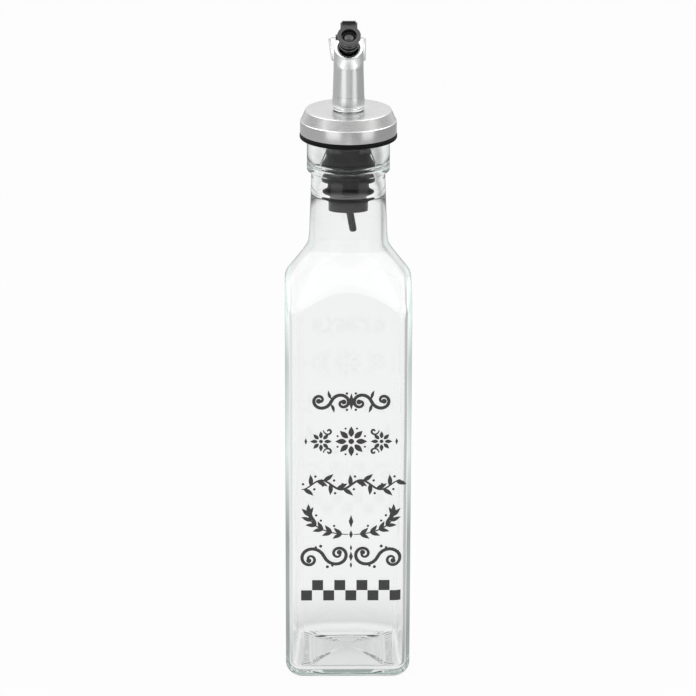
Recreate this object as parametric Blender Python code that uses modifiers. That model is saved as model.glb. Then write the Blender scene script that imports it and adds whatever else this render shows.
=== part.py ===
"""Square glass oil bottle with a lift-out pourer and a flip plug, in metres, +Z up, standing on Z = 0.

The bottle's axis is the Z axis and the spout points to -Y. Run it in Blender's text editor, or with
blender --background --python part.py
"""

import math

import bmesh
import bpy
from mathutils import Matrix, Vector

# Clearance between touching pieces, and how far a cutter runs past what it cuts
seat_gap = 0.0003
overrun = 0.001

# Glass bottle: the body from the table up to the shoulder, then the neck, then the ringed finish
body_width = 0.0485
body_height = 0.1471
body_wall = 0.0026
corner_radius = 0.007
heel_radius = 0.0054
bearing_width = 0.0052
push_up_height = 0.0022
floor_thickness = 0.0056
floor_round = 0.0045
shoulder_rise = 0.0274
shoulder_blend = 0.003
shoulder_drop = 0.0012
neck_fillet = 0.0015
neck_fillet_drop = 0.0027
neck_length = 0.0253
neck_top_radius = 0.01405
neck_wall = 0.0023
neck_taper_share = 0.03
seam_height_share = 0.747
seam_step = 0.00015
finish_underside = 0.0016
finish_height = 0.0122
finish_step = 0.0017
finish_groove_shares = (0.172, 0.336)
finish_groove_width = 0.0009
finish_groove_depth = 0.00035
rim_round = 0.0012
bore_step = 0.00125
bore_depth = 0.0155
bore_flare = 0.0065
push_up_shoulder_share = 0.75
floor_crown_share = 0.6
least_corner_share = 0.1

# Sealing gasket
gasket_thickness = 0.0016
gasket_overhang = 0.0002
gasket_round_share = 0.3

# Dome cap
cap_overhang = 0.00255
cap_band_height = 0.0054
cap_slope_height = 0.0035
cap_slope_run = 0.0014
cap_wall = 0.0011
cap_edge_round = 0.0006

# Spout tube and its collar: the tube's radius is taken at the elbow
spout_radius = 0.00565
spout_foot_flare = 0.00033
spout_lip_taper = 0.0003
spout_shank_step = 0.0003
spout_wall = 0.00105
spout_rise = 0.01277
spout_nose_length = 0.00844
spout_tilt = math.radians(40.0)
lip_wall = 0.00159
lip_round = 0.0008
collar_height = 0.0055
collar_wall = 0.00063
collar_groove_height_share = 0.16
collar_groove_depth_share = 0.28

# Stopper core, whose wall is a share of the bottle's bore
core_wall_share = 0.162
core_depth = 0.0278
core_flange_thickness = 0.0018
core_boss_wall = 0.0024
core_foot_step = 0.0015
core_foot_height = 0.0037
core_edge_round = 0.0005
core_web_thickness = 0.002
pour_hole_share = 0.256
pour_hole_spacing = math.radians(75.0)
pour_hole_count = 3

# Finned sleeve: the fins are placed along the stretch below its collar. Its wall and the fins' depth are
# shares of the bottle's bore
sleeve_wall_share = 0.143
sleeve_collar_wall = 0.0025
sleeve_collar_height = 0.0047
fin_clearance = 0.0004
fin_depth_share = 0.219
fin_top_shares = (0.16, 0.60, 0.84)
fin_thickness_shares = (0.20, 0.073, 0.058)
fin_reach_shares = (0.89, 1.0, 0.83)
fin_slope_share = 0.06

# Vent tube, which leans where it passes through the core's floor
vent_share = 0.314
vent_bore_share = 0.52
vent_above = 0.0092
vent_below = 0.0107
vent_offset_share = 0.186
vent_lean = math.radians(5.35)

# Hinge wire
wire_radius = 0.0004
wire_bend_radius = 0.0008
wire_left_bulge = 0.00075
wire_end_share = 0.5
hinge_clearance = 0.00045
hinge_below_mouth = 0.0029

# Flip plug, measured along the mouth's axis from the lip
stem_clearance = 0.00036
stem_depth = 0.002
stem_taper = 0.0008
stem_taper_middle_share = 0.6
stem_height = 0.0036
stem_collar_step = 0.00045
stem_collar_thickness = 0.0015
stem_groove_height = 0.0005
head_collar_step = 0.0005
head_collar_thickness = 0.0013
head_overhang = 0.00103
head_thickness = 0.0009
head_round = 0.00025
dimple_rim = 0.00158
dimple_depth = 0.0007
dimple_floor_share = 0.7
tab_inset = 0.00128
tab_overhang = 0.00162
tab_corner_round = 0.0006
tab_lip_height = 0.001
tab_lip_thickness = 0.00065
arm_inset = 0.0001
arm_thickness = 0.0011
arm_foot_share = 0.8
barrel_wall = 0.0004
barrel_left_gap = 0.00105
barrel_right_gap = 0.00185

# Fineness of the round shapes, as numbers of steps
turn_steps = 40
tube_steps = 28
pin_steps = 14
flat_steps = 6
corner_steps = 5
arc_steps = 3
shoulder_steps = 11
merge_distance = 0.00001
smooth_angle = math.radians(35.0)

# Bottle: heights from the table, and radii
half_width = body_width / 2
corner_reach = math.sqrt(2) * (half_width - corner_radius) + corner_radius
neck_foot_height = body_height + shoulder_rise
neck_top_height = neck_foot_height + neck_length
fillet_height = neck_foot_height - neck_fillet_drop
finish_bottom = neck_top_height + finish_underside
bottle_height = finish_bottom + finish_height
finish_radius = neck_top_radius + finish_step
bore_radius = neck_top_radius - neck_wall - bore_step
neck_line_radius = neck_top_radius + neck_taper_share * (neck_top_height - body_height)
shoulder_slope = (corner_reach + shoulder_blend - neck_line_radius) / (fillet_height - body_height)

# Gasket and cap
gasket_bottom = bottle_height + seat_gap
gasket_top = gasket_bottom + gasket_thickness
cap_bottom = gasket_top + seat_gap
cap_ridge = cap_bottom + cap_band_height
cap_top = cap_ridge + cap_slope_height
cap_radius = finish_radius + cap_overhang
cap_top_radius = cap_radius - cap_slope_run

# Stopper core and its sleeve, which take their radii inwards from the bottle's bore. The holes in the
# core's floor, and the vent tube, take theirs from the core's own bore
fin_depth = bore_radius * fin_depth_share
sleeve_waist_radius = bore_radius - fin_clearance - fin_depth
core_neck_hole = sleeve_waist_radius - bore_radius * sleeve_wall_share
core_radius = core_neck_hole - seat_gap
core_bore_radius = core_radius - bore_radius * core_wall_share
core_foot_radius = core_radius + core_foot_step
pour_hole_radius = core_bore_radius * pour_hole_share
vent_radius = core_bore_radius * vent_share
vent_bore_radius = vent_radius * vent_bore_share
vent_offset = core_bore_radius * vent_offset_share
core_bottom = bottle_height - core_depth
core_web_middle = core_bottom + core_web_thickness / 2
flange_top = cap_bottom + core_flange_thickness
boss_top = cap_top - cap_wall - seat_gap
sleeve_bottom = core_bottom + core_foot_height + seat_gap

# Spout and collar
spout_shank_radius = spout_radius - spout_shank_step
spout_bore_radius = spout_shank_radius - spout_wall
spout_lip_radius = spout_radius - spout_lip_taper
mouth_radius = spout_lip_radius - lip_wall
socket_radius = spout_shank_radius + seat_gap
shank_bottom = flange_top + seat_gap
collar_bottom = cap_top + seat_gap
collar_top = collar_bottom + collar_height
spout_shoulder = collar_top + seat_gap
up = Vector((0, 0, 1))
mouth_direction = Vector((0, -math.sin(spout_tilt), math.cos(spout_tilt)))
mouth_rear = Vector((0, math.cos(spout_tilt), math.sin(spout_tilt)))
elbow_centre = Vector((0, 0, spout_shoulder + spout_rise))
mouth_centre = elbow_centre + mouth_direction * spout_nose_length

# Hinge wire and flip plug
wire_hole_radius = wire_radius + seat_gap
leg_offset = spout_radius + seat_gap + wire_radius
wire_end_offset = spout_radius - (spout_radius - mouth_radius) * wire_end_share
barrel_radius = wire_hole_radius + barrel_wall
hinge_behind_mouth = spout_lip_radius + hinge_clearance + barrel_radius
hinge_centre = mouth_centre + mouth_rear * hinge_behind_mouth - mouth_direction * hinge_below_mouth
stem_radius = mouth_radius - stem_clearance
head_radius = stem_radius + head_overhang
dimple_radius = head_radius - dimple_rim
stem_collar_top = stem_height + stem_collar_thickness
head_foot = stem_collar_top + stem_groove_height
head_bottom = head_foot + head_collar_thickness
head_top = head_bottom + head_thickness
head_middle = (head_bottom + head_top) / 2


def clear_scene():
    for obj in list(bpy.data.objects):
        bpy.data.objects.remove(obj)


def new_collection(name):
    collection = bpy.data.collections.new(name)
    bpy.context.scene.collection.children.link(collection)
    return collection


def make_material(name, colour, roughness, metallic=0.0, transmission=0.0):
    material = bpy.data.materials.new(name)
    material.use_nodes = True
    shader = material.node_tree.nodes["Principled BSDF"]
    shader.inputs["Base Color"].default_value = (*colour, 1.0)
    shader.inputs["Roughness"].default_value = roughness
    shader.inputs["Metallic"].default_value = metallic
    shader.inputs["Transmission Weight"].default_value = transmission
    material.diffuse_color = (*colour, 1.0)
    return material


def place(name, mesh, material, collection):
    """An object of this mesh, or a hidden cutter where it has no material."""
    obj = bpy.data.objects.new(name, mesh)
    collection.objects.link(obj)
    if material:
        mesh.materials.append(material)
    else:
        obj.hide_render = True
        obj.display_type = "WIRE"
    return obj


def quarter_turn(steps):
    """Pairs of sine and cosine from 0 to 90 degrees."""
    angles = [math.pi / 2 * step / steps for step in range(steps + 1)]
    return [(math.sin(angle), math.cos(angle)) for angle in angles]


def turned(name, outline, material, collection, steps=turn_steps):
    """A turned piece. The outline runs down the outer side, and back up the bore if there is one."""
    mesh = bpy.data.meshes.new(name)
    edges = [(i, (i + 1) % len(outline)) for i in range(len(outline))]
    mesh.from_pydata([(radius, 0, height) for radius, height in outline], edges, [])
    obj = place(name, mesh, material, collection)
    screw = obj.modifiers.new("Turn", "SCREW")
    screw.steps = steps
    screw.render_steps = steps
    screw.use_merge_vertices = True
    screw.merge_threshold = merge_distance
    screw.use_smooth_shade = True
    return obj


def rod(name, radius, length, collection, steps=pin_steps):
    """A cylinder along Z, centred on its origin, to cut or join with."""
    shape = bmesh.new()
    bmesh.ops.create_cone(
        shape, cap_ends=True, segments=steps, radius1=radius, radius2=radius, depth=length
    )
    mesh = bpy.data.meshes.new(name)
    shape.to_mesh(mesh)
    shape.free()
    return place(name, mesh, None, collection)


def block(name, low, high, edge_round, collection):
    """A box between two corners, with its upright edges rounded, to join with."""
    low, high = Vector(low), Vector(high)
    shape = bmesh.new()
    bmesh.ops.create_cube(shape, size=1.0)
    bmesh.ops.scale(shape, vec=high - low, verts=shape.verts)
    bmesh.ops.translate(shape, vec=(low + high) / 2, verts=shape.verts)
    upright = [edge for edge in shape.edges if edge.verts[0].co.z != edge.verts[1].co.z]
    bmesh.ops.bevel(shape, geom=upright, offset=edge_round, segments=arc_steps, affect="EDGES")
    mesh = bpy.data.meshes.new(name)
    shape.to_mesh(mesh)
    shape.free()
    return place(name, mesh, None, collection)


def plate(name, outline, thickness, collection):
    """An outline in the mouth's side view, (to the rear, out of the mouth), thickened across X."""
    curve = bpy.data.curves.new(name, "CURVE")
    curve.dimensions = "2D"
    curve.fill_mode = "BOTH"
    curve.extrude = thickness / 2
    spline = curve.splines.new("POLY")
    spline.points.add(len(outline) - 1)
    for point, (rear, height) in zip(spline.points, outline):
        point.co = (rear, height, 0, 1)
    spline.use_cyclic_u = True
    flat = bpy.data.objects.new(name, curve)
    collection.objects.link(flat)
    bpy.context.view_layer.update()
    graph = bpy.context.evaluated_depsgraph_get()
    mesh = bpy.data.meshes.new_from_object(flat.evaluated_get(graph))
    bpy.data.objects.remove(flat)
    shape = bmesh.new()
    shape.from_mesh(mesh)
    bmesh.ops.remove_doubles(shape, verts=shape.verts, dist=merge_distance)
    across_x = Matrix(((0, 0, 1, 0), (1, 0, 0, 0), (0, 1, 0, 0), (0, 0, 0, 1)))
    bmesh.ops.transform(shape, matrix=across_x, verts=shape.verts)
    bmesh.ops.recalc_face_normals(shape, faces=shape.faces)
    shape.to_mesh(mesh)
    shape.free()
    return place(name, mesh, None, collection)


def combine(obj, other, operation):
    change = obj.modifiers.new(other.name, "BOOLEAN")
    change.operation = operation
    change.object = other


def loft(name, rings, material, collection, ring_path_closed=False):
    """Faces between rings that have the same number of points. A ring of one point is a pole."""
    shape = bmesh.new()
    rows = [[shape.verts.new(point) for point in ring] for ring in rings]
    pairs = list(zip(rows, rows[1:]))
    if ring_path_closed:
        pairs.append((rows[-1], rows[0]))
    for lower, upper in pairs:
        for i in range(max(len(lower), len(upper))):
            corners = [lower[i % len(lower)], lower[(i + 1) % len(lower)]]
            corners += [upper[(i + 1) % len(upper)], upper[i % len(upper)]]
            shape.faces.new(list(dict.fromkeys(corners)))
    bmesh.ops.recalc_face_normals(shape, faces=shape.faces)
    mesh = bpy.data.meshes.new(name)
    shape.to_mesh(mesh)
    shape.free()
    mesh.shade_smooth()
    mesh.set_sharp_from_angle(angle=smooth_angle)
    return place(name, mesh, material, collection)


def section_angles():
    """Angles round the bottle: a few across each flat side, closer ones round each corner."""
    quarter = math.pi / 2
    flat_end = math.atan2(half_width - corner_radius, half_width)
    corner = quarter - 2 * flat_end
    angles = []
    for side in range(4):
        start = side * quarter - flat_end
        angles += [start + 2 * flat_end * i / flat_steps for i in range(flat_steps)]
        angles += [start + 2 * flat_end + corner * i / corner_steps for i in range(corner_steps)]
    return angles


def square_radius(angle, half, corner):
    """Distance from the axis to a rounded square's side in this direction."""
    quarter = math.pi / 2
    turn = abs((angle + quarter / 2) % quarter - quarter / 2)
    straight = half - corner
    if half * math.tan(turn) <= straight:
        return half / math.cos(turn)
    reach = straight * (math.cos(turn) + math.sin(turn))
    return reach + math.sqrt(max(reach**2 - 2 * straight**2 + corner**2, 0))


def soft_minimum(first, second, blend):
    mix = min(max((1 + (second - first) / blend) / 2, 0), 1)
    return second + (first - second) * mix - blend * mix * (1 - mix)


def section(height, inset=0.0, round_radius=body_width):
    """A ring of the bottle: a rounded square drawn in by the inset, met softly by a circle."""
    corner = max(corner_radius - inset, corner_radius * least_corner_share)
    points = []
    for angle in section_angles():
        side = square_radius(angle, half_width - inset, corner)
        radius = soft_minimum(round_radius, side, shoulder_blend)
        points.append((radius * math.cos(angle), radius * math.sin(angle), height))
    return points


def neck_radius_at(height):
    return neck_top_radius + neck_taper_share * (neck_top_height - height)


def dome_radius_at(height):
    """The round form that the flat sides run into: a neck that opens into a cone."""
    below = fillet_height - height
    return neck_radius_at(height) + shoulder_slope * (below + math.hypot(below, neck_fillet)) / 2


def shoulder_heights():
    return [body_height + shoulder_rise * step / shoulder_steps for step in range(shoulder_steps + 1)]


def bottle_outside():
    """Rings from the middle of the base out to the heel, and up to the top of the rim."""
    bearing_inset = heel_radius + bearing_width
    raised_inset = (half_width + bearing_inset) / 2
    rings = [[(0, 0, push_up_height)]]
    rings.append(section(push_up_height * push_up_shoulder_share, raised_inset))
    rings.append(section(0, bearing_inset))
    for sine, cosine in quarter_turn(arc_steps + 1):
        rings.append(section(heel_radius * (1 - cosine), heel_radius * (1 - sine)))
    for height in shoulder_heights():
        rings.append(section(height, round_radius=dome_radius_at(height)))
    seam_height = neck_foot_height + neck_length * seam_height_share
    for side in (-1, 0, 1):
        height = seam_height + side * seam_step
        step_out = seam_step * (1 - abs(side))
        rings.append(section(height, round_radius=neck_radius_at(height) + step_out))
    rings.append(section(neck_top_height, round_radius=neck_top_radius))
    groove_radius = finish_radius - finish_groove_depth
    rings.append(section(finish_bottom, round_radius=groove_radius))
    rings.append(section(finish_bottom + finish_groove_width, round_radius=finish_radius))
    for share in finish_groove_shares:
        for side in (-1, 0, 1):
            height = finish_bottom + finish_height * share + side * finish_groove_width / 2
            radius = finish_radius if side else groove_radius
            rings.append(section(height, round_radius=radius))
    for sine, cosine in quarter_turn(arc_steps):
        radius = finish_radius - rim_round * (1 - cosine)
        rings.append(section(bottle_height - rim_round * (1 - sine), round_radius=radius))
    return rings


def bottle_inside():
    """Rings from the top of the rim down the bore, and in to the middle of the floor."""
    rings = []
    for sine, cosine in quarter_turn(arc_steps):
        radius = bore_radius + rim_round * (1 - sine)
        rings.append(section(bottle_height - rim_round * (1 - cosine), round_radius=radius))
    bore_bottom = bottle_height - bore_depth
    neck_bore_radius = neck_radius_at(bore_bottom - bore_flare) - neck_wall
    for step in range(arc_steps + 1):
        share = step / arc_steps
        ease = share * share * (3 - 2 * share)
        radius = bore_radius + (neck_bore_radius - bore_radius) * ease
        rings.append(section(bore_bottom - bore_flare * share, round_radius=radius))
    for height in reversed(shoulder_heights()):
        radius = dome_radius_at(height + shoulder_drop) - neck_wall
        rings.append(section(height, body_wall, radius))
    for sine, cosine in quarter_turn(arc_steps):
        inset = body_wall + floor_round * (1 - cosine)
        rings.append(section(floor_thickness + floor_round * (1 - sine), inset))
    middle_inset = (half_width + body_wall + floor_round) / 2
    rings.append(section(floor_thickness + push_up_height * floor_crown_share, middle_inset))
    rings.append([(0, 0, floor_thickness + push_up_height)])
    return rings


def make_bottle(parts, materials):
    return loft("glass_bottle", bottle_outside() + bottle_inside(), materials["glass"], parts)


def make_gasket(parts, materials):
    edge_round = gasket_thickness * gasket_round_share
    inset = cap_radius + gasket_overhang - edge_round
    outline = [(core_neck_hole, gasket_top)]
    for sine, cosine in quarter_turn(arc_steps):
        outline.append((inset + edge_round * sine, gasket_top - edge_round * (1 - cosine)))
    for sine, cosine in quarter_turn(arc_steps):
        outline.append((inset + edge_round * cosine, gasket_bottom + edge_round * (1 - sine)))
    outline.append((core_neck_hole, gasket_bottom))
    return turned("sealing_gasket", outline, materials["rubber"], parts)


def make_cap(parts, materials):
    half_round = cap_edge_round / 2
    bulge = ((cap_radius + cap_top_radius + cap_edge_round) / 2, (cap_ridge + cap_top) / 2)
    outline = [(socket_radius, cap_top), (cap_top_radius - cap_edge_round, cap_top)]
    outline += [(cap_top_radius, cap_top - half_round), bulge]
    outline += [(cap_radius - half_round, cap_ridge + half_round), (cap_radius, cap_ridge - half_round)]
    outline += [(cap_radius, cap_bottom), (cap_radius - cap_wall, cap_bottom)]
    outline += [(cap_radius - cap_wall, cap_ridge - cap_wall)]
    outline += [(cap_top_radius - cap_wall, cap_top - cap_wall), (socket_radius, cap_top - cap_wall)]
    return turned("dome_cap", outline, materials["satin"], parts)


def make_collar(parts, materials):
    outer = socket_radius + collar_wall
    depth = collar_wall * collar_groove_depth_share
    groove = collar_bottom + collar_height * collar_groove_height_share
    outline = [(socket_radius, collar_top), (outer - depth, collar_top), (outer, collar_top - depth)]
    outline += [(outer, groove + depth), (outer - depth, groove), (outer, groove - depth)]
    outline += [(outer, collar_bottom), (socket_radius, collar_bottom)]
    return turned("spout_collar", outline, materials["steel"], parts, tube_steps)


def tube_ring(centre, direction, radius, plane_normal):
    """A tube's section, slid along its axis until each point lies in the plane through the centre."""
    side = Vector((1, 0, 0))
    rear = direction.cross(side)
    points = []
    for step in range(tube_steps):
        angle = 2 * math.pi * step / tube_steps
        spoke = side * (radius * math.cos(angle)) + rear * (radius * math.sin(angle))
        slide = -spoke.dot(plane_normal) / direction.dot(plane_normal)
        points.append(centre + spoke + direction * slide)
    return points


def upright_ring(height, radius):
    return tube_ring(Vector((0, 0, height)), up, radius, up)


def mouth_ring(depth, radius):
    centre = mouth_centre - mouth_direction * depth
    return tube_ring(centre, mouth_direction, radius, mouth_direction)


def make_spout(parts, cutters, materials):
    """An upright shank and tube, mitred to the nose, whose lip is rolled in to the mouth."""
    mitre = (up + mouth_direction).normalized()
    rings = [upright_ring(shank_bottom, spout_shank_radius)]
    rings.append(upright_ring(spout_shoulder, spout_shank_radius))
    rings.append(upright_ring(spout_shoulder, spout_radius + spout_foot_flare))
    rings.append(tube_ring(elbow_centre, up, spout_radius, mitre))
    half_lip = lip_wall / 2
    for sine, cosine in quarter_turn(arc_steps):
        rings.append(mouth_ring(lip_round * (1 - sine), spout_lip_radius - half_lip * (1 - cosine)))
    for sine, cosine in quarter_turn(arc_steps)[1:]:
        rings.append(mouth_ring(lip_round * (1 - cosine), mouth_radius + half_lip * (1 - sine)))
    rings.append(tube_ring(elbow_centre, mouth_direction, mouth_radius, mitre))
    rings.append(upright_ring(spout_shoulder, spout_bore_radius))
    rings.append(upright_ring(shank_bottom, spout_bore_radius))
    spout = loft("spout_tube", rings, materials["steel"], parts, ring_path_closed=True)
    hole = rod("wire_hole", wire_hole_radius, 2 * (spout_radius + overrun), cutters)
    hole.location = elbow_centre
    hole.rotation_euler = (0, math.pi / 2, 0)
    combine(spout, hole, "DIFFERENCE")
    return spout


def make_core(parts, cutters, materials):
    """The moulded core: a flange and socket under the cap, and a tube with a holed floor in the neck."""
    flange_radius = cap_radius - cap_wall - seat_gap
    boss_radius = socket_radius + core_boss_wall
    foot_top = core_bottom + core_foot_height
    web_top = core_bottom + core_web_thickness
    outline = [(socket_radius, boss_top), (boss_radius, boss_top), (boss_radius, flange_top)]
    outline += [(flange_radius, flange_top), (flange_radius, cap_bottom), (core_radius, cap_bottom)]
    outline += [(core_radius, foot_top), (core_foot_radius, foot_top)]
    outline += [(core_foot_radius, core_bottom + core_edge_round)]
    outline += [(core_foot_radius - core_edge_round, core_bottom), (0, core_bottom), (0, web_top)]
    outline += [(core_bore_radius, web_top), (core_bore_radius, flange_top), (socket_radius, flange_top)]
    core = turned("stopper_core", outline, materials["plastic"], parts)
    cut_length = core_web_thickness + 2 * overrun
    reach = core_bore_radius - pour_hole_radius
    for number in range(pour_hole_count):
        angle = math.pi + pour_hole_spacing * (number - (pour_hole_count - 1) / 2)
        hole = rod(f"pour_hole_{number + 1}", pour_hole_radius, cut_length, cutters)
        hole.location = (reach * math.cos(angle), reach * math.sin(angle), core_web_middle)
        combine(core, hole, "DIFFERENCE")
    vent_hole = rod("vent_hole", vent_radius + seat_gap, cut_length, cutters)
    vent_hole.matrix_world = vent_frame()
    combine(core, vent_hole, "DIFFERENCE")
    return core


def make_sleeve(parts, materials):
    collar_radius = core_neck_hole + sleeve_collar_wall
    collar_foot = bottle_height - sleeve_collar_height
    run = collar_foot - sleeve_bottom
    slope = run * fin_slope_share
    outline = [(core_neck_hole, bottle_height), (collar_radius, bottle_height), (collar_radius, collar_foot)]
    for top, thickness, reach in zip(fin_top_shares, fin_thickness_shares, fin_reach_shares):
        radius = sleeve_waist_radius + fin_depth * reach
        fin_top = collar_foot - run * top
        fin_foot = fin_top - run * thickness
        outline += [(sleeve_waist_radius, fin_top + slope), (radius, fin_top)]
        outline += [(radius, fin_foot), (sleeve_waist_radius, fin_foot - slope / 2)]
    outline += [(sleeve_waist_radius, sleeve_bottom), (core_neck_hole, sleeve_bottom)]
    return turned("finned_sleeve", outline, materials["rubber"], parts)


def vent_frame():
    """The vent tube's own frame: its origin in the middle of the core's floor, and +Z up the tube."""
    middle = Matrix.Translation((vent_offset, 0, core_web_middle))
    return middle @ Matrix.Rotation(-vent_lean, 4, "Y")


def make_vent(parts, materials):
    tip_round = (vent_radius - vent_bore_radius) / 2
    outline = [(vent_bore_radius, vent_above), (vent_radius, vent_above)]
    for sine, cosine in quarter_turn(arc_steps):
        radius = vent_bore_radius + tip_round * (1 + cosine)
        outline.append((radius, tip_round * (1 - sine) - vent_below))
    for sine, cosine in quarter_turn(arc_steps)[1:]:
        radius = vent_bore_radius + tip_round * (1 - sine)
        outline.append((radius, tip_round * (1 - cosine) - vent_below))
    vent = turned("vent_tube", outline, materials["plastic"], parts, pin_steps)
    vent.matrix_world = vent_frame()
    return vent


def rounded_route(points, radius):
    """The route with an arc at each inner corner."""
    route = [points[0]]
    for before, corner, after in zip(points, points[1:], points[2:]):
        back = (before - corner).normalized()
        ahead = (after - corner).normalized()
        half_turn = back.angle(ahead) / 2
        reach = radius / math.tan(half_turn)
        centre = corner + (back + ahead).normalized() * (radius / math.sin(half_turn))
        first = corner + back * reach - centre
        last = corner + ahead * reach - centre
        for step in range(arc_steps + 2):
            route.append(centre + first.slerp(last, step / (arc_steps + 1)) * radius)
    route.append(points[-1])
    return route


def make_wire(parts, materials):
    """The bail that is the plug's hinge pin: its ends sit in the spout's sides."""
    leg = Vector((leg_offset, 0, 0))
    end = Vector((wire_end_offset, 0, 0))
    bulge = Vector((wire_left_bulge, 0, 0))
    corners = [elbow_centre + end, elbow_centre + leg, hinge_centre + leg]
    corners += [hinge_centre - leg - bulge, elbow_centre - leg, elbow_centre - end]
    bend = min(wire_bend_radius, leg_offset - wire_end_offset - wire_radius)
    route = rounded_route(corners, bend)
    curve = bpy.data.curves.new("hinge_wire", "CURVE")
    curve.dimensions = "3D"
    curve.bevel_depth = wire_radius
    curve.bevel_resolution = 2
    curve.use_fill_caps = True
    spline = curve.splines.new("POLY")
    spline.points.add(len(route) - 1)
    for point, spot in zip(spline.points, route):
        point.co = (*(spot - hinge_centre), 1)
    curve.materials.append(materials["wire"])
    wire = bpy.data.objects.new("hinge_wire", curve)
    wire.location = hinge_centre
    parts.objects.link(wire)
    return wire


def plug_outline():
    """Half of the plug's side view, from the middle of the dimple down to the tip of the stem."""
    stem_collar_radius = stem_radius + stem_collar_step
    head_collar_radius = stem_radius + head_collar_step
    dimple_floor = head_top - dimple_depth
    taper_radius = stem_radius - stem_taper * stem_taper_middle_share
    outline = [(0, dimple_floor), (dimple_radius * dimple_floor_share, dimple_floor)]
    outline += [(dimple_radius, head_top), (head_radius - head_round, head_top)]
    outline += [(head_radius, head_top - head_round), (head_radius, head_bottom)]
    outline += [(head_collar_radius, head_bottom), (head_collar_radius, head_foot)]
    outline += [(stem_radius, head_foot), (stem_radius, stem_collar_top)]
    outline += [(stem_collar_radius, stem_collar_top), (stem_collar_radius, stem_height)]
    outline += [(stem_radius, stem_height), (stem_radius, 0), (taper_radius, -stem_depth / 2)]
    outline += [(stem_radius - stem_taper, -stem_depth), (0, -stem_depth)]
    return outline


def plug_pieces(cutters):
    """The tab, its lip and the arm down to the barrel, in the mouth's frame, +Y to the rear."""
    tab_half = head_radius - tab_inset
    tab_rear = head_radius + tab_overhang
    tab = block(
        "tab", (-tab_half, dimple_radius, head_bottom), (tab_half, tab_rear, head_top),
        tab_corner_round, cutters,
    )
    lip_half = tab_half - tab_corner_round
    lip = block(
        "tab_lip", (-lip_half, tab_rear - tab_lip_thickness, head_middle),
        (lip_half, tab_rear - arm_inset, head_top + tab_lip_height), arm_inset, cutters,
    )
    foot_half = barrel_radius * arm_foot_share
    arm_outline = [
        (tab_rear - arm_thickness, head_middle),
        (tab_rear - arm_inset, head_middle),
        (hinge_behind_mouth + foot_half, -hinge_below_mouth),
        (hinge_behind_mouth - foot_half, -hinge_below_mouth),
        (spout_lip_radius + seat_gap + head_round, head_round),
    ]
    arm = plate("hinge_arm", arm_outline, 2 * (tab_half - arm_inset), cutters)
    return tab, lip, arm


def make_plug(parts, cutters, materials):
    """The flip plug, turned about the mouth's axis but with its origin on the hinge."""
    mouth_in_plug = Matrix.Translation((0, -hinge_behind_mouth, hinge_below_mouth))
    world = Matrix.Translation(hinge_centre) @ Matrix.Rotation(spout_tilt, 4, "X")
    plug = turned("flip_plug", plug_outline(), materials["plastic"], parts, tube_steps)
    plug.data.transform(mouth_in_plug)
    plug.matrix_world = world
    mouth_axis = bpy.data.objects.new("mouth_axis", None)
    mouth_axis.matrix_world = world @ mouth_in_plug
    cutters.objects.link(mouth_axis)
    plug.modifiers["Turn"].object = mouth_axis
    for piece in plug_pieces(cutters):
        piece.matrix_world = world @ mouth_in_plug
        combine(plug, piece, "UNION")
    right_end = leg_offset - wire_radius - barrel_right_gap
    left_end = wire_radius + barrel_left_gap - leg_offset
    across = Matrix.Translation(((right_end + left_end) / 2, 0, 0)) @ Matrix.Rotation(math.pi / 2, 4, "Y")
    barrel = rod("barrel", barrel_radius, right_end - left_end, cutters, tube_steps)
    barrel.matrix_world = world @ across
    combine(plug, barrel, "UNION")
    pin_hole = rod("pin_hole", wire_hole_radius, right_end - left_end + 2 * overrun, cutters)
    pin_hole.matrix_world = world @ across
    combine(plug, pin_hole, "DIFFERENCE")
    return plug


def main():
    clear_scene()
    parts = new_collection("oil_bottle")
    cutters = new_collection("cutters")
    materials = {
        "glass": make_material("clear_glass", (0.94, 0.98, 0.96), 0.02, transmission=1.0),
        "satin": make_material("satin_metal", (0.78, 0.78, 0.77), 0.32, metallic=1.0),
        "steel": make_material("polished_steel", (0.80, 0.80, 0.80), 0.18, metallic=1.0),
        "wire": make_material("steel_wire", (0.84, 0.84, 0.84), 0.2, metallic=1.0),
        "plastic": make_material("black_plastic", (0.03, 0.03, 0.032), 0.35),
        "rubber": make_material("black_rubber", (0.02, 0.02, 0.022), 0.55),
    }
    make_bottle(parts, materials)
    make_gasket(parts, materials)
    make_sleeve(parts, materials)
    make_core(parts, cutters, materials)
    make_vent(parts, materials)
    make_cap(parts, materials)
    make_collar(parts, materials)
    make_spout(parts, cutters, materials)
    make_wire(parts, materials)
    make_plug(parts, cutters, materials)


main()
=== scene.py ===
# Square glass oil bottle with a lift-out pourer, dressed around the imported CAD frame.
# Everything is in metres: +Z up, -Y is the printed front that the spout points over.
import math

import bmesh
import bpy
from mathutils import Matrix, Vector, noise


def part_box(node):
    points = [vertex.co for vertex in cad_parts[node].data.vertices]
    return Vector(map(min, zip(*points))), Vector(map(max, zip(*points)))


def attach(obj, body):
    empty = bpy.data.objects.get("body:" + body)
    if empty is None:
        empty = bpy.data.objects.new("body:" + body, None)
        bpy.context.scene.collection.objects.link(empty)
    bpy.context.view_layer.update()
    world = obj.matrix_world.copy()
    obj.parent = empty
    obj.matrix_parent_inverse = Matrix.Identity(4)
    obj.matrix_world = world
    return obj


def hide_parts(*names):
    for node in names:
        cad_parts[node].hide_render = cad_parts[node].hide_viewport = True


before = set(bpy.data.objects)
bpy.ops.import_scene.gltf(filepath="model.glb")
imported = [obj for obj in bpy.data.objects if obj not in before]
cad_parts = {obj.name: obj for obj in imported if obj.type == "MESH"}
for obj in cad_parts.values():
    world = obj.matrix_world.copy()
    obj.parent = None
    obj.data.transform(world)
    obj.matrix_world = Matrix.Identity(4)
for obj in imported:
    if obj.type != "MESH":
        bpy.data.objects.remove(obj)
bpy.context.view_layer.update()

mm = 0.001
quarterTurn = math.pi / 2
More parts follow.
